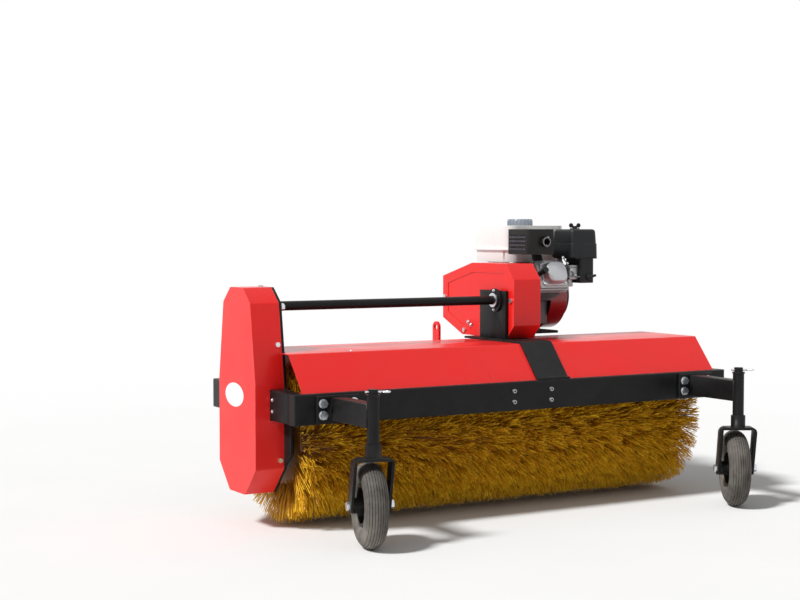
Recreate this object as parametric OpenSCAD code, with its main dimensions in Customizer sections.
// Power brush sweeper: a driven rotary broom under a sheet hood, on two casters,
// with its own small petrol engine. Lengths in millimetres, Z up, ground at Z = 0.
// Working frame: X = 0 at the middle of the hood, Y = 0 at the brush axis, front is -Y.

/* [Brush] */
// Diameter over the bristle tips
brush_d = 440; // [400:5:480]
// Length of the bristled part
brush_l = 1290; // [1100:10:1400]
// Outside diameter of the core tube
core_d = 150; // [120:2:180]
// Wall of the core tube
core_wall = 4; // [3:0.5:8]
// Thickness of the end discs
disc_t = 8; // [5:1:14]
// Diameter of the stub axles
axle_d = 30; // [25:1:34]
// Diameter of the stub axle flanges
flange_d = 90; // [70:1:110]
// Thickness of the stub axle flanges
flange_t = 8; // [5:1:10]
// Rings of bristle tufts along the brush
tuft_rings = 15; // [10:1:16]
// Tufts round one ring
tufts_round = 30; // [20:1:30]
// Width of one tuft
tuft_w = 9; // [5:0.5:11]
// Wall of the sleeve that holds the tufts
sleeve_wall = 5; // [3:0.5:8]

/* [Frame] */
// Room between the left side plate and the bristles
left_gap = 42; // [40:1:60]
// Room between the right side plate and the bristles
right_gap = 14; // [10:1:30]
// Thickness of the side plates
plate_t = 8; // [5:1:12]
// Height of the front and rear beams and the side tubes
beam_h = 80; // [60:1:100]
// Depth of the beams and width of the side tubes
beam_t = 40; // [30:1:50]
// Wall of the beams and side tubes
beam_wall = 3; // [2:0.5:5]
// Wall of the front beam, which carries the casters
front_wall = 5; // [3:0.5:8]
// Height of the beams' underside above the brush axis
beam_rise = 79; // [70:1:95]
// How far the left side plate reaches in front of and behind the axis
plate_reach = 152; // [130:1:170]
// How far the right side plate reaches in front of and behind the axis
right_reach = 60; // [50:1:90]
// How far the side plates hang below the axis
plate_drop = 55; // [50:1:70]
// Corner cut of the side plates
plate_cut = 45; // [20:1:50]

/* [Hood] */
// How far the hood reaches past the side plates
hood_lap = 9; // [0:1:20]
// Headroom from the bristles to the top panel
hood_head = 35; // [30:1:60]
// Front panel's foot, in front of the brush
hood_foot = 22; // [15:1:30]
// Front fold, in front of the brush axis
hood_fold = 161; // [140:1:180]
// Rear fold, behind the brush axis
hood_back = 97; // [80:1:120]
// Rear panel's foot, behind the brush
hood_tail = 12; // [8:1:16]
// Turned-in flange at the hood's feet
hood_lip = 18; // [10:1:22]
// Thickness of the hood's sheet
sheet = 2; // [1.5:0.25:3]
// Left edge of the strap over the hood
strap_x = 41; // [20:1:60]
// Width of the strap
strap_w = 106; // [90:1:130]
// Thickness of the strap
strap_t = 6; // [4:1:8]
// Foot of the strap on the beam
strap_foot = 15; // [10:1:17]

/* [Casters] */
// Stems, in from the ends of the front beam
caster_inset = 121; // [90:1:160]
// Stems, in front of the front beam
caster_reach = 191; // [170:1:230]
// Height of the caster arms
arm_h = 60; // [50:1:70]
// Width of the caster arms
arm_w = 40; // [30:1:50]
// Wall of the caster arms
arm_wall = 4; // [2:0.5:6]
// Width of the arms' bolting plates
arm_plate_w = 124; // [118:1:150]
// Height of the arms' bolting plates
arm_plate_h = 70; // [60:1:78]
// Thickness of the arms' bolting plates
arm_plate_t = 8; // [5:1:10]
// Sideways spacing of the arm bolts
arm_bolt_dx = 90; // [84:1:100]
// Upright spacing of the arm bolts
arm_bolt_dz = 30; // [24:1:40]
// Diameter of the caster stems
stem_d = 25; // [20:1:27]
// Outside diameter of the stem sleeves
sleeve_d = 32; // [30:1:40]
// Sleeve top, above the middle of the beam
sleeve_rise = 49; // [40:1:60]
// Diameter of the thrust collars
collar_d = 41; // [34:1:46]
// Height of the thrust collars
collar_h = 33; // [20:1:40]
// Diameter of the caster wheels
wheel_d = 220; // [200:1:240]
// Width of the caster tyres
tyre_w = 62; // [50:1:70]
// Diameter of the wheel rims
rim_d = 104; // [98:1:112]
// Trail of the wheels behind their stems
trail = 40; // [30:1:50]
// Turn of the left caster as it stands
rest_swivel = 16; // [0:1:30]
// Turn of the right caster as it stands
right_swivel = 31; // [0:1:40]
// Thickness of the forks
fork_t = 8; // [6:1:10]
// Width of the fork's flat bar
fork_bar = 45; // [42:1:55]
// Room between the fork legs
fork_gap = 88; // [84:1:100]
// Diameter of the wheel axles
wheel_axle_d = 12; // [10:1:14]

/* [Drive case] */
// Depth of the drive case
case_depth = 83; // [80:1:100]
// Case top, above the drive shaft
case_head = 53; // [50:1:70]
// Case bottom, below the brush axis
case_foot = 123; // [115:1:140]
// Half width at the top
case_top_hw = 40; // [30:1:50]
// Half width level with the drive shaft
case_upper_hw = 86; // [80:1:100]
// Half width level with the frame
case_mid_hw = 116; // [112:1:130]
// Half width at the bottom
case_low_hw = 49; // [40:1:60]
// Thickness of the covers' sheet
cover_t = 2; // [1.5:0.25:3]
// Diameter of the brush pulley
brush_pulley_d = 170; // [150:2:180]
// Diameter of the small pulley that drives it
final_pulley_d = 64; // [60:1:80]

/* [Shaft and belt guard] */
// Diameter of the drive shaft
shaft_d = 26; // [22:1:28]
// Left face of the bearing post
post_x = 66; // [60:1:75]
// Thickness of the bearing post
post_t = 10; // [6:1:12]
// Bearing post, in front of the shaft
post_front = 50; // [46:1:70]
// Bearing post, behind the shaft
post_back = 84; // [60:1:95]
// Post top, above the shaft
post_head = 28; // [20:1:50]
// Width of the belt guard
guard_w = 94; // [88:1:110]
// Guard in front of the shaft
guard_nose = 77; // [74:1:90]
// Guard behind the crankshaft
guard_tail = 99; // [80:1:120]
// Guard above the shaft
guard_head = 107; // [100:1:120]
// Turned-in flange on the guard's left face
guard_flange = 28; // [20:1:34]
// Diameter of the pulley on the drive shaft
shaft_pulley_d = 130; // [120:1:136]
// Diameter of the clutch pulley on the engine
clutch_d = 70; // [64:1:80]

/* [Engine] */
// Height of the crankshaft above the deck
crank_h = 104; // [100:1:115]
// Crankshaft, behind the drive shaft
crank_reach = 212; // [200:1:230]
// Diameter of the crankshaft
crank_d = 20; // [18:1:24]
// Crankcase
crankcase_size = [170, 165, 176]; // [50:1:220]
// Tilt of the cylinder
cylinder_tilt = 22; // [20:1:25]
// Cylinder block
barrel_size = [88, 94, 88]; // [50:1:120]
// Cylinder head
head_size = [112, 36, 96]; // [30:1:130]
// Valve cover
valve_size = [84, 30, 78]; // [20:1:100]
// Muffler
muffler_size = [98, 115, 76]; // [60:1:130]
// Air cleaner cover
cleaner_size = [95, 110, 86]; // [60:1:130]
// Air cleaner base
cleaner_base_size = [54, 80, 78]; // [40:1:100]
// Fuel tank
tank_size = [220, 200, 112]; // [90:1:240]
// Diameter of the fuel cap
cap_d = 80; // [66:1:90]
// Height of the fuel cap
cap_h = 20; // [14:1:26]
// Diameter of the fan cover
fan_d = 204; // [190:1:206]
// Depth of the fan cover
fan_l = 62; // [55:1:75]
// Diameter of the starter cover
starter_d = 156; // [140:1:170]
// Depth of the starter cover
starter_l = 24; // [18:1:30]

/* [Deck and hitch] */
// Thickness of the engine deck
deck_t = 8; // [6:1:12]
// Width of the engine deck
deck_w = 192; // [186:1:220]
// Length of the engine deck
deck_l = 205; // [195:1:240]
// King pin, behind the rear beam
king_reach = 38; // [34:1:60]
// Diameter of the king pin
king_d = 30; // [24:1:32]
// Radius of the hole circle for the lock pin
lock_r = 62; // [58:1:80]
// Swing of the hitch either way
hitch_swing = 20; // [10:1:20]
// Width over the hitch ears
hitch_w = 260; // [220:1:320]
// Diameter of the hitch pin holes
hitch_hole_d = 16.5; // [12.5:0.5:20.5]

/* [Hidden] */
$fn = 64;
over = 1;
run_fit = 0.1;
body_gap = 0.4;
hole_fit = 0.6;
hub_fit = 0.1;

paint_red = [0.9, 0.16, 0.13];
paint_black = [0.13, 0.13, 0.14];
zinc = [0.75, 0.76, 0.78];
alloy = [0.62, 0.63, 0.64];
dark_steel = [0.3, 0.3, 0.32];
rubber_black = [0.16, 0.15, 0.15];
tank_white = [0.93, 0.92, 0.9];
straw = [0.85, 0.66, 0.15];
moulded = [0.1, 0.1, 0.11];

// Heights and faces that the pieces share
brush_r = brush_d / 2;
axis_z = brush_r;
beam_z0 = axis_z + beam_rise;
beam_z1 = beam_z0 + beam_h;
beam_mid = (beam_z0 + beam_z1) / 2;
inner_x = (brush_l + left_gap + right_gap) / 2;
outer_x = inner_x + plate_t;
side_x = outer_x + beam_t;
brush_x0 = left_gap - inner_x;
brush_x1 = inner_x - right_gap;
beam_y1 = -brush_r;
beam_y0 = beam_y1 - beam_t;
rear_y0 = brush_r;
rear_y1 = rear_y0 + beam_t;
hood_z = brush_d + hood_head;
strap_z = hood_z + strap_t;
deck_y0 = hood_back + 2 * sheet;
deck_z = strap_z + deck_t;
drive_z = deck_z + crank_h;
case_x0 = -outer_x - case_depth;
bearing_t = 20;
post_bearing_t = 9;
bearing_d = 48;
bearing_flange_d = 68;
bearing_flange_t = 6;
guard_gap = 2;
guard_x0 = post_x + post_t + guard_gap;
guard_x1 = guard_x0 + guard_w;
pto_gap = 4;
pto_x = guard_x1 + pto_gap;
deck_x0 = guard_x1 + guard_gap;

// Belts and pulleys
belt_w = 14;
belt_t = 10;
belt_gap = 0.5;
groove_h = 11;
groove_room = 2;
groove_w = belt_w + groove_room;
pulley_w = 26;
final_in = 5;
final_x0 = case_x0 + cover_t + final_in;
engine_belt_x0 = guard_x0 + guard_w / 2 - pulley_w / 2;

// Casters
caster_x = side_x - caster_inset;
caster_y = beam_y0 - caster_reach;
wheel_r = wheel_d / 2;
tube_r = tyre_w / 2;
ring_r = wheel_r - tube_r;
fork_room = 7;
fork_z0 = wheel_d + fork_room;
fork_z1 = fork_z0 + fork_t;
sleeve_z0 = fork_z1 + collar_h + body_gap;
sleeve_z1 = beam_mid + sleeve_rise;
cap_t = 4;
stem_over = 13;
lynch_rise = 6;
stem_top = sleeve_z1 + body_gap + cap_t + stem_over;
lynch_z = sleeve_z1 + body_gap + cap_t + lynch_rise;
lynch_d = 6;
leg_end_d = 40;

// Fasteners
bolt_d = 12;
bolt_head = 21.9;
bolt_head_h = 8;
washer_d = 24;
washer_t = 2.5;
screw_d = 8;
screw_head = 13;
screw_head_h = 5;
screw_l = 12;
beam_screw_x = [-46, 79];
case_screw_drop = 28;
case_screw_share = 0.52;
case_screw_in = 12;

// Hitch
king_y = rear_y1 + king_reach;
hitch_plate_t = 8;
sector_rim = 13;
sector_r = lock_r + sector_rim;
king_boss_d = 50;
bar_t = 30;
bar_h = 40;
ear_t = 10;
ear_l = 40;
ear_h = 60;
ear_hole_in = 17;
lock_d = 12;
lock_travel = 16;
lock_steps_share = [-1, -0.5, 0, 0.5, 1];
hitch_y1 = king_y + lock_r + bar_t / 2 + ear_l;

// Overall middle, so that the origin lies under the middle of the whole
tyre_front = caster_y + trail * cos(rest_swivel) - ring_r * cos(rest_swivel) - tube_r;
mid_x = (case_x0 + side_x) / 2;
mid_y = (tyre_front + hitch_y1) / 2;

// Shared shapes
module placed() {
  translate([-mid_x, -mid_y, 0]) children();
}
module box(a, b) {
  translate(a) cube(b - a);
}
module rod_x(x0, x1, y, z, d) {
  translate([x0, y, z]) rotate([0, 90, 0]) cylinder(h = x1 - x0, d = d);
}
module rod_y(y0, y1, x, z, d) {
  translate([x, y1, z]) rotate([90, 0, 0]) cylinder(h = y1 - y0, d = d);
}
module rod_z(z0, z1, x, y, d) {
  translate([x, y, z0]) cylinder(h = z1 - z0, d = d);
}
module slab_x(x0, x1) {
  translate([x0, 0, 0]) rotate([90, 0, 90]) linear_extrude(x1 - x0) children();
}
function left_of(a, b) = let (d = b - a) [-d[1], d[0]] / norm(d);
function mitre(n1, n2) = (n1 + n2) / (1 + n1 * n2);
function path_mitre(p, i) =
  i == 0 ? left_of(p[0], p[1]) :
  i == len(p) - 1 ? left_of(p[i - 1], p[i]) :
  mitre(left_of(p[i - 1], p[i]), left_of(p[i], p[i + 1]));
function strip(p, t) =
  concat(p, [for (i = [len(p) - 1 : -1 : 0]) p[i] + t * path_mitre(p, i)]);
function inset(p, t) = [
  for (i = [0 : len(p) - 1])
    let (n = len(p), a = p[(i + n - 1) % n], b = p[i], c = p[(i + 1) % n])
      b + t * mitre(left_of(a, b), left_of(b, c))
];
module round_rect(w, h, r) {
  translate([r, 0]) square([w - 2 * r, h]);
  translate([0, r]) square([w, h - 2 * r]);
  for (x = [r, w - r]) {
    for (y = [r, h - r]) {
      translate([x, y]) circle(r = r);
    }
  }
}
// Rounded box: upright edges rounded
module soft_box(at, size, r) {
  translate(at) linear_extrude(size[2]) round_rect(size[0], size[1], r);
}
// Rounded box: edges along Y rounded
module soft_box_y(at, size, r) {
  translate([at[0], at[1] + size[1], at[2]]) rotate([90, 0, 0])
    linear_extrude(size[1]) round_rect(size[0], size[2], r);
}
module belt_loop(a, ra, b, rb) {
  hull() {
    translate(a) circle(r = ra);
    translate(b) circle(r = rb);
  }
}
module belt(x0, a, da, b, db) {
  slab_x(x0, x0 + belt_w) difference() {
    belt_loop(a, da / 2 - groove_h + belt_gap + belt_t, b, db / 2 - groove_h + belt_gap + belt_t);
    belt_loop(a, da / 2 - groove_h + belt_gap, b, db / 2 - groove_h + belt_gap);
  }
}
module pulley(x0, y, z, d, bore) {
  difference() {
    rod_x(x0, x0 + pulley_w, y, z, d);
    translate([x0 + (pulley_w - groove_w) / 2, y, z]) rotate([0, 90, 0])
      difference() {
        cylinder(h = groove_w, d = d + over);
        cylinder(h = groove_w, d = d - 2 * groove_h);
      }
    rod_x(x0 - over, x0 + pulley_w + over, y, z, bore + hub_fit);
  }
}

// Frame
module arm_bolt_spots(s) {
  for (dx = [-arm_bolt_dx / 2, arm_bolt_dx / 2]) {
    for (dz = [-arm_bolt_dz / 2, arm_bolt_dz / 2]) {
      translate([s * caster_x + dx, 0, beam_mid + dz]) children();
    }
  }
}
module beam_screw_spots() {
  for (x = beam_screw_x) {
    for (dz = [-arm_bolt_dz / 2, arm_bolt_dz / 2]) {
      translate([x, 0, beam_mid + dz]) children();
    }
  }
}
module hollow_bar(a, b, wall) {
  w = [wall, wall, wall];
  difference() {
    box(a, b);
    box(a + w, b - w);
  }
}
drain_d = 8;
drain_in = 30;
module front_beam() {
  color(paint_black) difference() {
    hollow_bar([-side_x, beam_y0, beam_z0], [side_x, beam_y1, beam_z1], front_wall);
    for (s = [-1, 1]) {
      arm_bolt_spots(s)
        rod_y(beam_y0 - over, beam_y0 + front_wall + over, 0, 0, bolt_d + hole_fit);
      rod_z(beam_z0 - over, beam_z0 + front_wall + over, s * (side_x - drain_in),
        (beam_y0 + beam_y1) / 2, drain_d);
    }
    beam_screw_spots()
      rod_y(beam_y0 - over, beam_y0 + front_wall + over, 0, 0, screw_d + hole_fit);
  }
}
module side_tube(x0) {
  color(paint_black) difference() {
    hollow_bar([x0, beam_y1, beam_z0], [x0 + beam_t, rear_y1, beam_z1], beam_wall);
    for (y = [beam_y1 + drain_in, rear_y1 - drain_in]) {
      rod_z(beam_z0 - over, beam_z0 + beam_wall + over, x0 + beam_t / 2, y, drain_d);
    }
  }
}
module left_side_tube() {
  side_tube(-side_x);
}
module right_side_tube() {
  side_tube(outer_x);
}
module rear_beam() {
  color(paint_black) difference() {
    hollow_bar([-outer_x, rear_y0, beam_z0], [outer_x, rear_y1, beam_z1], beam_wall);
    for (s = [-1, 1]) {
      rod_z(beam_z0 - over, beam_z0 + beam_wall + over, s * (outer_x - drain_in),
        (rear_y0 + rear_y1) / 2, drain_d);
    }
  }
}
case_top = drive_z + case_head;
case_bottom = axis_z - case_foot;
case_shoulder = 13;
case_waist = 175;
case_hip = 50;
function case_outline() = [
  [-case_top_hw, case_top], [-case_upper_hw, drive_z + case_shoulder],
  [-case_mid_hw, axis_z + case_waist], [-case_mid_hw, axis_z - case_hip],
  [-case_low_hw, case_bottom], [case_low_hw, case_bottom],
  [case_mid_hw, axis_z - case_hip], [case_mid_hw, axis_z + case_waist],
  [case_upper_hw, drive_z + case_shoulder], [case_top_hw, case_top]
];
module plate_outline(front, back) {
  z0 = axis_z - plate_drop;
  polygon([[-front, beam_z1], [-front, z0 + plate_cut], [plate_cut - front, z0],
    [back - plate_cut, z0], [back, z0 + plate_cut], [back, beam_z1]]);
}
axle_hole = 14;
module left_side_plate() {
  color(paint_black) slab_x(-outer_x, -inner_x) difference() {
    union() {
      polygon(case_outline());
      plate_outline(plate_reach, plate_reach);
    }
    translate([0, axis_z]) circle(d = axle_d + axle_hole);
    translate([0, drive_z]) circle(d = shaft_d + axle_hole);
  }
}
module right_side_plate() {
  color(paint_black) slab_x(inner_x, outer_x) difference() {
    plate_outline(right_reach, plate_reach);
    translate([0, axis_z]) circle(d = axle_d + axle_hole);
  }
}
module hood() {
  foot_y = -brush_r - hood_foot;
  tail_y = brush_r + hood_tail;
  path = [[foot_y + hood_lip, beam_z1], [foot_y, beam_z1], [-hood_fold, hood_z],
    [hood_back, hood_z], [tail_y, beam_z1], [tail_y - hood_lip, beam_z1]];
  color(paint_red) difference() {
    slab_x(-outer_x - hood_lap, outer_x + hood_lap) polygon(strip(path, -sheet));
    box([-outer_x - hood_lap - over, -case_mid_hw - notch, beam_z1 + hood_lip],
      [notch - inner_x, case_mid_hw + notch, hood_z + over]);
  }
}
strap_run = 130;
module hood_strap() {
  foot_y = -brush_r - hood_foot;
  path = [[foot_y - strap_foot, beam_z1], [foot_y, beam_z1], [-hood_fold, hood_z],
    [strap_run, hood_z]];
  color(paint_black) difference() {
    union() {
      slab_x(strap_x, strap_x + strap_w) polygon(strip(path, strap_t));
      box([strap_x, deck_y0, hood_z], [deck_x0 + strap_w, strap_run, strap_z]);
    }
    foot_spots() rod_z(hood_z - over, strap_z + over, 0, 0, screw_d + hole_fit);
  }
}
deck_post_w = 40;
deck_post_t = 24;
deck_post_in = 8;
module engine_deck() {
  x0 = deck_x0;
  x1 = deck_x0 + deck_w;
  color(paint_black) difference() {
    union() {
      box([x0, deck_y0, strap_z], [x1, deck_y0 + deck_l, deck_z]);
      for (x = [x0 + deck_post_in, x1 - deck_post_in - deck_post_w]) {
        box([x, rear_y1 - deck_post_t, beam_z1], [x + deck_post_w, rear_y1, strap_z]);
      }
    }
    foot_spots() rod_z(strap_z - over, deck_z + over, 0, 0, screw_d + hole_fit);
  }
}
module bearing_post() {
  color(paint_black) slab_x(post_x, post_x + post_t) difference() {
    translate([-post_front, strap_z]) square([post_front + post_back, drive_z + post_head - strap_z]);
    translate([0, drive_z]) circle(d = shaft_d + axle_hole);
  }
}
module flange_bearing(x, y, z, bore, s, deep = bearing_t) {
  t0 = s < 0 ? x - bearing_flange_t : x;
  b0 = s < 0 ? x - deep : x;
  difference() {
    union() {
      rod_x(t0, t0 + bearing_flange_t, y, z, bearing_flange_d);
      rod_x(b0, b0 + deep, y, z, bearing_d);
    }
    rod_x(b0 - over, b0 + deep + over, y, z, bore + run_fit);
  }
}
module flange_bearings() {
  color(dark_steel) {
    flange_bearing(-inner_x, 0, axis_z, axle_d, 1);
    flange_bearing(outer_x, 0, axis_z, axle_d, 1);
    flange_bearing(-inner_x, 0, drive_z, shaft_d, 1);
    flange_bearing(post_x, 0, drive_z, shaft_d, -1, post_bearing_t);
  }
}

// Covers
notch = 1;
module drive_case_cover() {
  color(paint_red) difference() {
    slab_x(case_x0, -outer_x) polygon(case_outline());
    slab_x(case_x0 + cover_t, -outer_x + over) polygon(inset(case_outline(), cover_t));
    box([-side_x - notch, -case_mid_hw - over, beam_z0 - notch],
      [-outer_x + over, case_mid_hw + over, beam_z1 + notch]);
  }
}
guard_z0 = strap_z;
guard_z1 = drive_z + guard_head;
nose_cut = [41, 46];
tail_cut = [165, 43];
heel_cut = [111, 47];
toe_cut = [37, 38];
function guard_outline() = let (y0 = -guard_nose, y1 = crank_reach + guard_tail) [
  [y0 + nose_cut[0], guard_z1], [y0, guard_z1 - nose_cut[1]],
  [y0, guard_z0 + toe_cut[1]], [y0 + toe_cut[0], guard_z0],
  [y1 - heel_cut[0], guard_z0], [y1, guard_z0 + heel_cut[1]],
  [y1, guard_z1 - tail_cut[1]], [y1 - tail_cut[0], guard_z1]
];
crank_hole = 60;
module belt_guard_cover() {
  color(paint_red) difference() {
    slab_x(guard_x0, guard_x1) polygon(guard_outline());
    slab_x(guard_x0 + cover_t, guard_x1 - cover_t) polygon(inset(guard_outline(), cover_t));
    slab_x(guard_x0 - over, guard_x0 + cover_t + over)
      polygon(inset(guard_outline(), guard_flange));
    rod_x(guard_x1 - cover_t - over, guard_x1 + over, crank_reach, drive_z, crank_hole);
  }
}
module belt_guard_back() {
  x0 = guard_x0 + cover_t;
  color(paint_red) difference() {
    slab_x(x0, x0 + cover_t) polygon(inset(guard_outline(), cover_t + body_gap));
    rod_x(x0 - over, x0 + cover_t + over, 0, drive_z, shaft_d + axle_hole);
  }
}
lug_t = 8;
lug_x = 12;
lug_l = 36;
lug_rise = 45;
lug_z = hood_z + lug_rise;
lug_hole_d = 18;
lug_hole_in = 18;
module lifting_lug() {
  color(paint_red) slab_x(lug_x - lug_t / 2, lug_x + lug_t / 2) difference() {
    union() {
      translate([rear_y1 - lug_l, beam_z1]) square([lug_l, lug_z - lug_hole_in - beam_z1]);
      translate([rear_y1 - lug_l / 2, lug_z - lug_hole_in]) circle(d = lug_l);
    }
    translate([rear_y1 - lug_l / 2, lug_z - lug_hole_in]) circle(d = lug_hole_d);
    translate([rear_y0, beam_z1]) square([hood_tail + notch, hood_lip]);
  }
}

// Fasteners
module arm_bolt(y) {
  rod_y(y, y + arm_plate_t + front_wall + over, 0, 0, bolt_d);
  rod_y(y - washer_t, y, 0, 0, washer_d);
  translate([0, y - washer_t, 0]) rotate([90, 0, 0]) cylinder(h = bolt_head_h, d = bolt_head, $fn = 6);
}
module caster_arm_bolts() {
  color(zinc) for (s = [-1, 1]) {
    arm_bolt_spots(s) arm_bolt(beam_y0 - arm_plate_t);
  }
}
module beam_screws() {
  color(zinc) beam_screw_spots() {
    rod_y(beam_y0, beam_y0 + screw_l, 0, 0, screw_d);
    rod_y(beam_y0 - screw_head_h, beam_y0, 0, 0, screw_head);
  }
}
guard_screw_dy = 14;
module rotate_about(x, turn) {
  translate([x, 0, 0]) rotate([0, 0, turn]) children();
}
module cover_screws() {
  a = [-case_upper_hw, drive_z + case_shoulder];
  b = [-case_mid_hw, axis_z + case_waist];
  f = a + case_screw_share * (b - a);
  lean = atan((a[0] - b[0]) / (a[1] - b[1]));
  x0 = guard_x0 - screw_head_h;
  y1 = crank_reach + guard_tail - heel_cut[0] - guard_screw_dy;
  color(zinc) {
    rod_x(x0, guard_x0, guard_screw_dy - guard_nose, drive_z, screw_head);
    rod_x(x0, guard_x0, y1, guard_z0 + guard_screw_dy, screw_head);
    rod_x(x0, guard_x0, crank_reach + guard_tail - guard_screw_dy, drive_z, screw_head);
    rod_z(case_top, case_top + screw_head_h, -outer_x - case_screw_in, 0, screw_head);
    for (s = [0, 180]) {
      rotate_about(-outer_x - case_screw_in, s) {
        rod_y(-case_mid_hw - screw_head_h, -case_mid_hw, 0, axis_z - case_screw_drop, screw_head);
        translate([0, f[0], f[1]]) rotate([-lean, 0, 0]) rod_y(-screw_head_h, 0, 0, 0, screw_head);
      }
    }
  }
}

// Hitch
lock_at = lock_r + king_y;
module hitch_bracket() {
  z1 = beam_z1 - hitch_plate_t;
  z0 = beam_z0 + hitch_plate_t;
  color(paint_black) difference() {
    union() {
      box([-sector_r, rear_y1, z1], [sector_r, king_y, beam_z1]);
      difference() {
        rod_z(z1, beam_z1, 0, king_y, 2 * sector_r);
        box([-sector_r, king_y - sector_r - over, z1 - over], [sector_r, rear_y1, beam_z1 + over]);
      }
      box([-king_boss_d / 2, rear_y1, beam_z0], [king_boss_d / 2, king_y, z0]);
      rod_z(beam_z0, z0, 0, king_y, king_boss_d);
      rod_z(beam_z0, beam_z1, 0, king_y, king_d);
      box([-sector_r, rear_y1, beam_z0], [sector_r, rear_y1 + hitch_plate_t, beam_z1]);
    }
    for (share = lock_steps_share) {
      translate([0, king_y, 0]) rotate([0, 0, share * hitch_swing])
        rod_z(z1 - over, beam_z1 + over, 0, lock_r, lock_d + hole_fit * 2);
    }
  }
}
module hitch_yoke() {
  z0 = beam_z0 + hitch_plate_t + body_gap;
  z1 = beam_z1 - hitch_plate_t - body_gap;
  y1 = lock_at + bar_t / 2;
  color(paint_black) difference() {
    union() {
      rod_z(z0, z1, 0, king_y, king_boss_d);
      box([-bar_h / 2, king_y, beam_mid - bar_h / 2], [bar_h / 2, lock_at, beam_mid + bar_h / 2]);
      box([-hitch_w / 2, lock_at - bar_t / 2, beam_mid - bar_h / 2], [hitch_w / 2, y1, beam_mid + bar_h / 2]);
      for (x = [-hitch_w / 2, hitch_w / 2 - ear_t]) {
        box([x, y1 - bar_t, beam_mid - ear_h / 2], [x + ear_t, y1 + ear_l, beam_mid + ear_h / 2]);
      }
    }
    rod_z(z0 - over, z1 + over, 0, king_y, king_d + run_fit);
    rod_z(z0 - over, z1 + over, 0, lock_at, lock_d + run_fit);
    rod_x(-hitch_w / 2 - over, hitch_w / 2 + over, y1 + ear_l - ear_hole_in, beam_mid, hitch_hole_d);
  }
}
lock_grip_d = 26;
lock_grip_h = 10;
lock_grip_gap = 20;
module hitch_lock_pin() {
  top = beam_z1 - hitch_plate_t - 2 * body_gap;
  grip_z = beam_mid - bar_h / 2 - lock_grip_gap;
  color(zinc) {
    rod_z(grip_z, top, 0, lock_at, lock_d);
    rod_z(grip_z - lock_grip_h, grip_z, 0, lock_at, lock_grip_d);
  }
}

// Casters
module caster_arm(s) {
  x = s * caster_x;
  y1 = beam_y0 - arm_plate_t;
  z0 = beam_mid - arm_h / 2;
  z1 = beam_mid + arm_h / 2;
  color(paint_black) difference() {
    union() {
      box([x - arm_plate_w / 2, y1, beam_mid - arm_plate_h / 2],
        [x + arm_plate_w / 2, beam_y0, beam_mid + arm_plate_h / 2]);
      box([x - arm_w / 2, caster_y, z0], [x + arm_w / 2, y1, z1]);
      rod_z(sleeve_z0, sleeve_z1, x, caster_y, sleeve_d);
    }
    box([x - arm_w / 2 + arm_wall, caster_y + sleeve_d, z0 + arm_wall],
      [x + arm_w / 2 - arm_wall, y1 - arm_wall, z1 - arm_wall]);
    rod_z(z0 - over, z0 + arm_wall + over, x, y1 - drain_in, drain_d);
    rod_z(sleeve_z0 - over, sleeve_z1 + over, x, caster_y, stem_d + run_fit);
    arm_bolt_spots(s) rod_y(y1 - over, beam_y0 + over, 0, 0, bolt_d + hole_fit);
  }
}
module left_caster_arm() {
  caster_arm(-1);
}
module right_caster_arm() {
  caster_arm(1);
}
module caster_place(s) {
  translate([s * caster_x, caster_y, 0]) rotate([0, 0, s < 0 ? -rest_swivel : -right_swivel]) children();
}
cap_disc_d = 36;
fork_bend = 18;
module fork_bars(hx) {
  box([-hx - fork_t, -fork_bar / 2, fork_z0], [hx + fork_t, fork_bar / 2, fork_z1]);
  for (x = [-hx - fork_t, hx]) {
    slab_x(x, x + fork_t) {
      polygon([[-fork_bar / 2, fork_z1], [trail - leg_end_d / 2, wheel_r],
        [trail + leg_end_d / 2, wheel_r], [fork_bar / 2, fork_z1]]);
      translate([trail, wheel_r]) circle(d = leg_end_d);
    }
  }
}
module fork(s) {
  hx = fork_gap / 2;
  color(paint_black) caster_place(s) difference() {
    union() {
      rod_z(fork_z0, stem_top, 0, 0, stem_d);
      rod_z(fork_z1, fork_z1 + collar_h, 0, 0, collar_d);
      rod_z(sleeve_z1 + body_gap, sleeve_z1 + body_gap + cap_t, 0, 0, cap_disc_d);
      intersection() {
        fork_bars(hx);
        soft_box_y([-hx - fork_t, -fork_bar, 0], [2 * hx + 2 * fork_t, fork_bar + trail + leg_end_d, fork_z1],
          fork_bend);
      }
    }
    rod_x(-hx - fork_t - over, hx + fork_t + over, trail, wheel_r, wheel_axle_d + hole_fit);
    rod_x(-cap_disc_d, cap_disc_d, 0, lynch_z, lynch_d + run_fit);
  }
}
module left_fork() {
  fork(-1);
}
module right_fork() {
  fork(1);
}
axle_nut_h = 10;
module axle(s) {
  hx = fork_gap / 2 + fork_t;
  color(zinc) caster_place(s) {
    rod_x(-hx, hx, trail, wheel_r, wheel_axle_d);
    translate([-hx - bolt_head_h, trail, wheel_r]) rotate([0, 90, 0])
      cylinder(h = bolt_head_h, d = bolt_head, $fn = 6);
    translate([hx, trail, wheel_r]) rotate([0, 90, 0]) cylinder(h = axle_nut_h, d = bolt_head, $fn = 6);
  }
}
module left_axle() {
  axle(-1);
}
module right_axle() {
  axle(1);
}
groove_share = [-0.54, -0.27, 0, 0.27, 0.54];
rib_gap = 2.4;
rib_depth = 3;
module tyre(s) {
  color(rubber_black) caster_place(s) translate([0, trail, wheel_r]) rotate([0, 90, 0])
    rotate_extrude() difference() {
      translate([ring_r, 0]) circle(r = tube_r);
      translate([0, -tyre_w]) square([rim_d / 2 + hub_fit / 2, 2 * tyre_w]);
      for (share = groove_share) {
        translate([ring_r + sqrt(1 - share * share) * tube_r - rib_depth, share * tube_r - rib_gap / 2])
          square([2 * rib_depth, rib_gap]);
      }
    }
}
module left_tyre() {
  tyre(-1);
}
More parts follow.
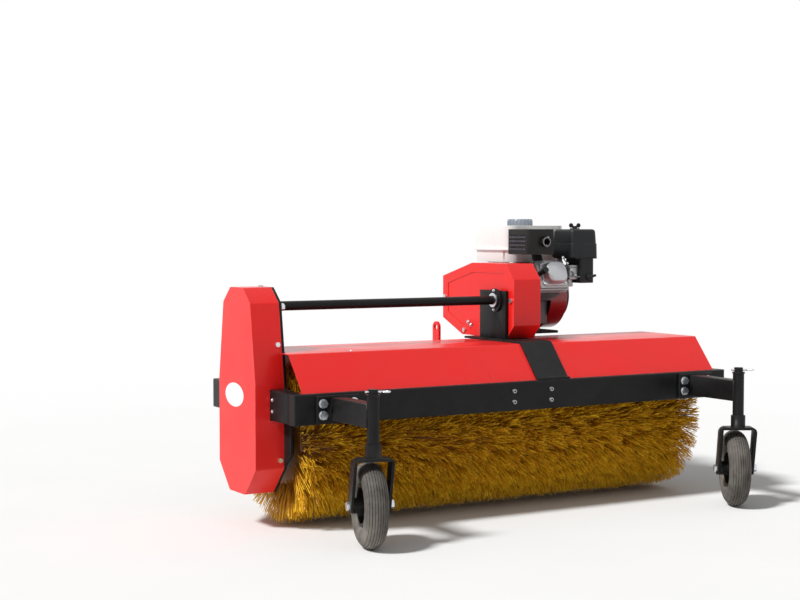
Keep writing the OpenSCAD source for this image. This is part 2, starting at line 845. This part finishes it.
module right_tyre() {
  tyre(1);
}
rim_w = 46;
rim_wall = 6;
web_t = 8;
boss_d = 40;
boss_side = 3;
module rim(s) {
  boss_l = fork_gap - 2 * boss_side;
  color(moulded) caster_place(s) translate([0, trail, wheel_r]) rotate([0, 90, 0])
    rotate_extrude() {
      translate([rim_d / 2 - rim_wall, -rim_w / 2]) square([rim_wall, rim_w]);
      translate([boss_d / 2 - rim_wall, -web_t / 2]) square([rim_d / 2 - boss_d / 2, web_t]);
      translate([wheel_axle_d / 2 + hub_fit / 2, -boss_l / 2])
        square([boss_d / 2 - wheel_axle_d / 2 - hub_fit / 2, boss_l]);
    }
}
module left_rim() {
  rim(-1);
}
module right_rim() {
  rim(1);
}
lynch_l = 42;
lynch_ring_d = 22;
lynch_wire = 4;
module lynch_pin(s) {
  color(zinc) caster_place(s) {
    rod_x(-lynch_l / 2, lynch_l / 2, 0, lynch_z, lynch_d);
    translate([lynch_l / 2 + lynch_ring_d / 2, 0, lynch_z])
      rotate_extrude() translate([lynch_ring_d / 2, 0]) circle(d = lynch_wire);
  }
}
module left_lynch_pin() {
  lynch_pin(-1);
}
module right_lynch_pin() {
  lynch_pin(1);
}

// Brush
module brush_core() {
  color(dark_steel) difference() {
    rod_x(brush_x0, brush_x1, 0, axis_z, core_d);
    rod_x(brush_x0 + disc_t, brush_x1 - disc_t, 0, axis_z, core_d - 2 * core_wall);
    rod_x(brush_x0 - over, brush_x1 + over, 0, axis_z, axle_d);
  }
}
module left_stub_axle() {
  color(dark_steel) {
    rod_x(final_x0, brush_x0, 0, axis_z, axle_d);
    rod_x(brush_x0 - flange_t, brush_x0, 0, axis_z, flange_d);
  }
}
module right_stub_axle() {
  color(dark_steel) {
    rod_x(brush_x1, outer_x + bearing_t, 0, axis_z, axle_d);
    rod_x(brush_x1, brush_x1 + flange_t, 0, axis_z, flange_d);
  }
}
ring_fit = 0.2;
hold_d = core_d + 2 * sleeve_wall;
lean_share = [0, 0.4, -0.2, 0.2, -0.4];
module bristles() {
  pitch = brush_l / tuft_rings;
  turn = 360 / tufts_round;
  root_r = hold_d / 2 - sleeve_wall / 2;
  color(straw) {
    difference() {
      rod_x(brush_x0, brush_x1, 0, axis_z, hold_d);
      rod_x(brush_x0 - over, brush_x1 + over, 0, axis_z, core_d + ring_fit);
    }
    for (i = [0 : tuft_rings - 1]) {
      for (j = [0 : tufts_round - 1]) {
        lean = atan(lean_share[(j + 2 * i) % len(lean_share)] * pitch / (brush_r - root_r));
        reach = (brush_r - root_r - tuft_w / 2 * abs(sin(lean))) / cos(lean);
        translate([brush_x0 + (i + 0.5) * pitch, 0, axis_z])
          rotate([180 + (j + (i % 2) / 2) * turn, 0, 0])
            translate([0, 0, root_r])
              rotate([0, lean, 0])
                cylinder(h = reach, d = tuft_w, $fn = 4);
      }
    }
  }
}
module brush_pulley() {
  color(dark_steel) pulley(final_x0, 0, axis_z, brush_pulley_d, axle_d);
}

// Drive
shaft_over = 12;
module drive_shaft() {
  x1 = engine_belt_x0 + pulley_w + shaft_over;
  color(paint_black) rod_x(final_x0, x1, 0, drive_z, shaft_d);
}
module shaft_pulley() {
  color(dark_steel) pulley(engine_belt_x0, 0, drive_z, shaft_pulley_d, shaft_d);
}
module final_pulley() {
  color(dark_steel) pulley(final_x0, 0, drive_z, final_pulley_d, shaft_d);
}
belt_in = (pulley_w - belt_w) / 2;
module final_belt() {
  color(rubber_black)
    belt(final_x0 + belt_in, [0, axis_z], brush_pulley_d, [0, drive_z], final_pulley_d);
}
module engine_belt() {
  color(rubber_black)
    belt(engine_belt_x0 + belt_in, [0, drive_z], shaft_pulley_d, [crank_reach, drive_z], clutch_d);
}
crank_in = 90;
module crankshaft() {
  color(dark_steel) rod_x(engine_belt_x0, pto_x + crank_in, crank_reach, drive_z, crank_d);
}
module clutch_pulley() {
  color(dark_steel) pulley(engine_belt_x0, crank_reach, drive_z, clutch_d, crank_d);
}

// Engine, drawn from the middle of its drive end
module engine_place() {
  translate([pto_x, crank_reach, drive_z]) children();
}
module cylinder_place() {
  engine_place() translate([cylinder_x, 0, 0]) rotate([-cylinder_tilt, 0, 0]) children();
}
case_y0 = -80;
foot_h = 20;
foot_w = 40;
foot_hole_in = 20;
foot_x = [10, 104];
block_wall = 6;
crank_bore = 40;
module foot_spots() {
  engine_place() for (x = foot_x) {
    for (y = [case_y0 + foot_hole_in, case_y0 + crankcase_size[1] - foot_hole_in]) {
      translate([x + foot_w / 2, y, -drive_z]) children();
    }
  }
}
barrel_y = -60;
fin_t = 3;
fin_gap = 10;
fin_out = 5;
fin_room = 1;
cylinder_x = crankcase_size[0] - barrel_size[0] / 2 - fin_out - fin_room;
fin_n = 5;
module mid_box(y0, size) {
  translate([-size[0] / 2, y0 - size[1], -size[2] / 2]) cube(size);
}
module engine_block() {
  at = [0, case_y0, foot_h - crank_h];
  color(alloy) difference() {
    union() {
      engine_place() {
        translate(at) cube(crankcase_size);
        for (x = foot_x) {
          translate([x, case_y0, -crank_h]) cube([foot_w, crankcase_size[1], foot_h]);
        }
      }
      cylinder_place() {
        mid_box(barrel_y, barrel_size);
        for (i = [1 : fin_n]) {
          mid_box(barrel_y - barrel_size[1] + i * (fin_gap + fin_t),
            [barrel_size[0] + 2 * fin_out, fin_t, barrel_size[2] + 2 * fin_out]);
        }
      }
    }
    engine_place() {
      translate(at + [block_wall, block_wall, block_wall])
        cube([crankcase_size[0], crankcase_size[1] - 2 * block_wall, crankcase_size[2] - 2 * block_wall]);
      rod_x(-over, block_wall + over, 0, 0, crank_bore);
    }
    foot_spots() rod_z(deck_z - over, deck_z + foot_h + block_wall + over, 0, 0, screw_d + hole_fit);
  }
}
head_y = barrel_y - barrel_size[1];
module cylinder_head() {
  color(alloy) cylinder_place() {
    mid_box(head_y, [head_size[0] - 2 * fin_out, head_size[1], head_size[2] - 2 * fin_out]);
    for (i = [0 : 2]) {
      mid_box(head_y - fin_gap / 2 - i * fin_gap, [head_size[0], fin_t, head_size[2]]);
    }
  }
}
valve_y = head_y - head_size[1];
valve_r = 14;
valve_rim = 5;
module valve_cover() {
  color(alloy) cylinder_place() {
    soft_box_y([-valve_size[0] / 2, valve_y - valve_rim, -valve_size[2] / 2],
      [valve_size[0], valve_rim, valve_size[2]], valve_r);
    soft_box_y([valve_rim - valve_size[0] / 2, valve_y - valve_size[1], valve_rim - valve_size[2] / 2],
      [valve_size[0] - 2 * valve_rim, valve_size[1] - valve_rim, valve_size[2] - 2 * valve_rim],
      valve_r - valve_rim);
  }
}
plug_d = 15;
plug_lip = 2;
plug_l = 44;
plug_x = -52;
module spark_plug_cap() {
  color(moulded) cylinder_place() {
    rod_y(valve_y - plug_l, valve_y, plug_x, 0, plug_d);
    rod_y(valve_y - plug_l, valve_y - plug_l + plug_d, plug_x, 0, plug_d + 2 * plug_lip);
  }
}
fan_wall = 2.5;
fan_box_h = 96;
module fan_cover() {
  x0 = crankcase_size[0];
  color(paint_red) engine_place() difference() {
    union() {
      rod_x(x0, x0 + fan_l, 0, 0, fan_d);
      translate([x0, case_y0, 0]) cube([fan_l, crankcase_size[1] - block_wall, fan_box_h]);
    }
    rod_x(x0 - over, x0 + fan_l - fan_wall, 0, 0, fan_d - 2 * fan_wall);
    translate([x0 - over, case_y0 + fan_wall, -fan_wall])
      cube([fan_l - fan_wall + over, crankcase_size[1] - block_wall - 2 * fan_wall, fan_box_h]);
    rod_x(x0 + fan_l - fan_wall - over, x0 + fan_l + over, 0, 0, starter_d - 8 * fan_wall);
  }
}
vent_n = 10;
vent_w = 9;
vent_r0 = 26;
vent_l = 34;
handle_l = 60;
handle_d = 20;
handle_neck = 26;
handle_in = 12;
handle_z = 40;
handle_y = sqrt(starter_d * starter_d / 4 - handle_z * handle_z);
module starter_cover() {
  x0 = crankcase_size[0] + fan_l;
  color(moulded) engine_place() difference() {
    rod_x(x0, x0 + starter_l, 0, 0, starter_d);
    rod_x(x0 - over, x0 + starter_l - fan_wall, 0, 0, starter_d - 2 * fan_wall);
    for (i = [0 : vent_n - 1]) {
      translate([x0, 0, 0]) rotate([i * 360 / vent_n, 0, 0])
        translate([0, -vent_w / 2, vent_r0]) cube([starter_l + over, vent_w, vent_l]);
    }
    rod_y(handle_y - handle_in - over, handle_y + handle_in, x0 + starter_l / 2, handle_z,
      handle_d / 2 + run_fit);
  }
}
module starter_handle() {
  x = crankcase_size[0] + fan_l + starter_l / 2;
  color(moulded) engine_place() {
    rod_y(handle_y - handle_in, handle_y + handle_neck, x, handle_z, handle_d / 2);
    translate([x, handle_y + handle_neck, handle_z - handle_l / 2]) cylinder(h = handle_l, d = handle_d);
  }
}
tank_at = [29, -72, 107];
tank_r = 36;
tank_wall = 2;
seam_h = 36;
seam_t = 5;
seam_out = 7;
neck_d = 56;
cap_at = [142, 28];
tank_foot = 26;
module fuel_tank() {
  w = [tank_wall, tank_wall, tank_wall];
  out = [seam_out, seam_out, 0];
  color(tank_white) engine_place() difference() {
    union() {
      soft_box(tank_at, tank_size, tank_r);
      soft_box(tank_at + [-seam_out, -seam_out, seam_h],
        [tank_size[0], tank_size[1], seam_t] + 2 * out, tank_r + seam_out);
      for (x = [tank_foot, crankcase_size[0] - 2 * tank_foot]) {
        translate([x + tank_foot / 2, -tank_foot, crankcase_size[2] + foot_h - crank_h])
          cube([tank_foot, 3 * tank_foot, tank_at[2] - crankcase_size[2] - foot_h + crank_h]);
      }
    }
    soft_box(tank_at + w, tank_size - 2 * w, tank_r - tank_wall);
    rod_z(tank_at[2] + tank_size[2] - 2 * tank_wall, tank_at[2] + tank_size[2] + over,
      cap_at[0], cap_at[1], neck_d - 6 * tank_wall);
  }
}
cap_lift = 0.5;
cap_ribs = 20;
cap_rib_w = 4;
module fuel_cap() {
  z0 = tank_at[2] + tank_size[2] + cap_lift;
  color(dark_steel) engine_place() {
    rod_z(z0, z0 + cap_h, cap_at[0], cap_at[1], cap_d - cap_lift * 8);
    for (i = [0 : cap_ribs - 1]) {
      translate([cap_at[0], cap_at[1], z0]) rotate([0, 0, i * 360 / cap_ribs])
        translate([0, -cap_rib_w / 2, 0]) cube([cap_d / 2, cap_rib_w, cap_h - cap_rib_w]);
    }
  }
}
cleaner_dx = 57;
cleaner_at = [cylinder_x + cleaner_dx, -207, 122];
cleaner_r = 12;
cleaner_wall = 2;
module air_cleaner_cover() {
  w = [cleaner_wall, cleaner_wall, -over];
  color(moulded) engine_place() difference() {
    soft_box(cleaner_at, cleaner_size, cleaner_r);
    soft_box(cleaner_at + w, cleaner_size - [2 * cleaner_wall, 2 * cleaner_wall, cleaner_wall - over],
      cleaner_r - cleaner_wall);
  }
}
cleaner_base_dx = 86;
cleaner_base_at = [cylinder_x + cleaner_base_dx, -202];
module air_cleaner_base() {
  z1 = cleaner_at[2];
  color(moulded) engine_place() {
    soft_box([cleaner_base_at[0], cleaner_base_at[1], z1 - cleaner_base_size[2]],
      cleaner_base_size, cleaner_r - cleaner_wall);
    soft_box([cleaner_at[0], cleaner_at[1], z1 - cleaner_wall * 2],
      [cleaner_size[0], cleaner_size[1], cleaner_wall * 2], cleaner_r);
  }
}
carb_size = [52, 44];
bowl_d = 26;
bowl_h = 22;
module carburettor() {
  x0 = cylinder_x + head_size[0] / 2;
  x1 = cleaner_base_at[0];
  y0 = cleaner_base_at[1] + carb_size[0] / 4;
  z0 = cleaner_at[2] - cleaner_base_size[2] + bowl_h / 2;
  color(alloy) engine_place() {
    translate([x0, y0, z0]) cube([x1 - x0, carb_size[0], carb_size[1]]);
    rod_z(z0 - bowl_h, z0, (x0 + x1) / 2, y0 + carb_size[0] / 2, bowl_d);
  }
}
muffler_dx = 106;
muffler_at = [cylinder_x - muffler_dx, -202, 132];
muffler_r = 12;
outlet_d = 26;
outlet_l = 10;
guard_wall = 1.5;
guard_room = 6;
pipe_d = 30;
pipe_x = -28;
pipe_l = 34;
stud_d = 14;
stud_share = [0.25, 0.75];
outlet_share = 0.6;
shell_t = 2;
module muffler() {
  g = [guard_room, guard_room, guard_room];
  w = [shell_t, shell_t, shell_t];
  out_x = muffler_at[0] + muffler_size[0] * outlet_share;
  mid_z = muffler_at[2] + muffler_size[2] / 2;
  top_z = muffler_at[2] + muffler_size[2];
  color(dark_steel) engine_place() {
    difference() {
      union() {
        soft_box(muffler_at + g, muffler_size - 2 * g, muffler_r);
        rod_y(muffler_at[1] - outlet_l, muffler_at[1] + guard_room + muffler_r, out_x, mid_z, outlet_d);
        for (share = stud_share) {
          rod_z(top_z - guard_room - shell_t, top_z - guard_wall, muffler_at[0] + muffler_size[0] / 2,
            muffler_at[1] + muffler_size[1] * share, stud_d);
        }
        translate([cylinder_x, 0, 0]) rotate([-cylinder_tilt, 0, 0])
          rod_z(head_size[2] / 2, head_size[2] / 2 + pipe_l, pipe_x, head_y - head_size[1] / 2, pipe_d);
      }
      soft_box(muffler_at + g + w, muffler_size - 2 * g - 2 * w, muffler_r - shell_t);
      rod_y(muffler_at[1] - outlet_l - over, muffler_at[1] + muffler_size[1] / 2, out_x, mid_z,
        outlet_d - 2 * shell_t);
    }
  }
}
slot_w = 6;
slot_pitch = 12;
slot_rows = 4;
slot_cols = 7;
module muffler_guard() {
  w = [guard_wall, guard_wall, -over];
  mid_z = muffler_at[2] + muffler_size[2] / 2;
  y0 = muffler_at[1] + muffler_size[1] / 2 - slot_pitch * (slot_cols - 1) / 2;
  color(moulded) engine_place() difference() {
    soft_box(muffler_at, muffler_size, muffler_r);
    soft_box(muffler_at + w, muffler_size - [2 * guard_wall, 2 * guard_wall, guard_wall - over],
      muffler_r - guard_wall);
    for (i = [0 : slot_cols - 1]) {
      for (j = [0 : slot_rows - 1]) {
        translate([muffler_at[0] - over, y0 + i * slot_pitch - slot_w / 2,
          mid_z + (j - (slot_rows - 1) / 2) * slot_pitch - slot_w / 2])
          cube([guard_wall + 2 * over, slot_w, slot_w]);
      }
    }
    rod_y(muffler_at[1] - over, muffler_at[1] + guard_wall + over,
      muffler_at[0] + muffler_size[0] * outlet_share, mid_z, outlet_d + 2 * shell_t);
  }
}
throttle_at = [212, 70];
throttle_l = 44;
throttle_t = 4;
throttle_d = 14;
module throttle_lever() {
  y1 = case_y0 - body_gap;
  color(dark_steel) engine_place() translate([throttle_at[0], 0, throttle_at[1]]) {
    rod_y(y1 - 2 * throttle_t, y1, 0, 0, throttle_d);
    box([-throttle_t, y1 - 2 * throttle_t, 0], [throttle_t, y1 - throttle_t, throttle_l]);
    rod_y(y1 - 3 * throttle_t, y1 - throttle_t, 0, throttle_l, throttle_d);
  }
}

placed() front_beam();
placed() left_side_tube();
placed() right_side_tube();
placed() rear_beam();
placed() left_side_plate();
placed() right_side_plate();
placed() hood();
placed() hood_strap();
placed() engine_deck();
placed() bearing_post();
placed() flange_bearings();
placed() drive_case_cover();
placed() belt_guard_cover();
placed() belt_guard_back();
placed() left_caster_arm();
placed() right_caster_arm();
placed() caster_arm_bolts();
placed() beam_screws();
placed() cover_screws();
placed() lifting_lug();
placed() hitch_bracket();
placed() engine_block();
placed() cylinder_head();
placed() valve_cover();
placed() fan_cover();
placed() starter_cover();
placed() fuel_tank();
placed() carburettor();
placed() air_cleaner_base();
placed() air_cleaner_cover();
placed() muffler();
placed() muffler_guard();
placed() spark_plug_cap();
placed() final_belt();
placed() engine_belt();
placed() brush_core();
placed() left_stub_axle();
placed() right_stub_axle();
placed() bristles();
placed() brush_pulley();
placed() drive_shaft();
placed() shaft_pulley();
placed() final_pulley();
placed() crankshaft();
placed() clutch_pulley();
placed() left_fork();
placed() left_axle();
placed() left_tyre();
placed() left_rim();
placed() left_lynch_pin();
placed() right_fork();
placed() right_axle();
placed() right_tyre();
placed() right_rim();
placed() right_lynch_pin();
placed() hitch_yoke();
placed() hitch_lock_pin();
placed() fuel_cap();
placed() starter_handle();
placed() throttle_lever();
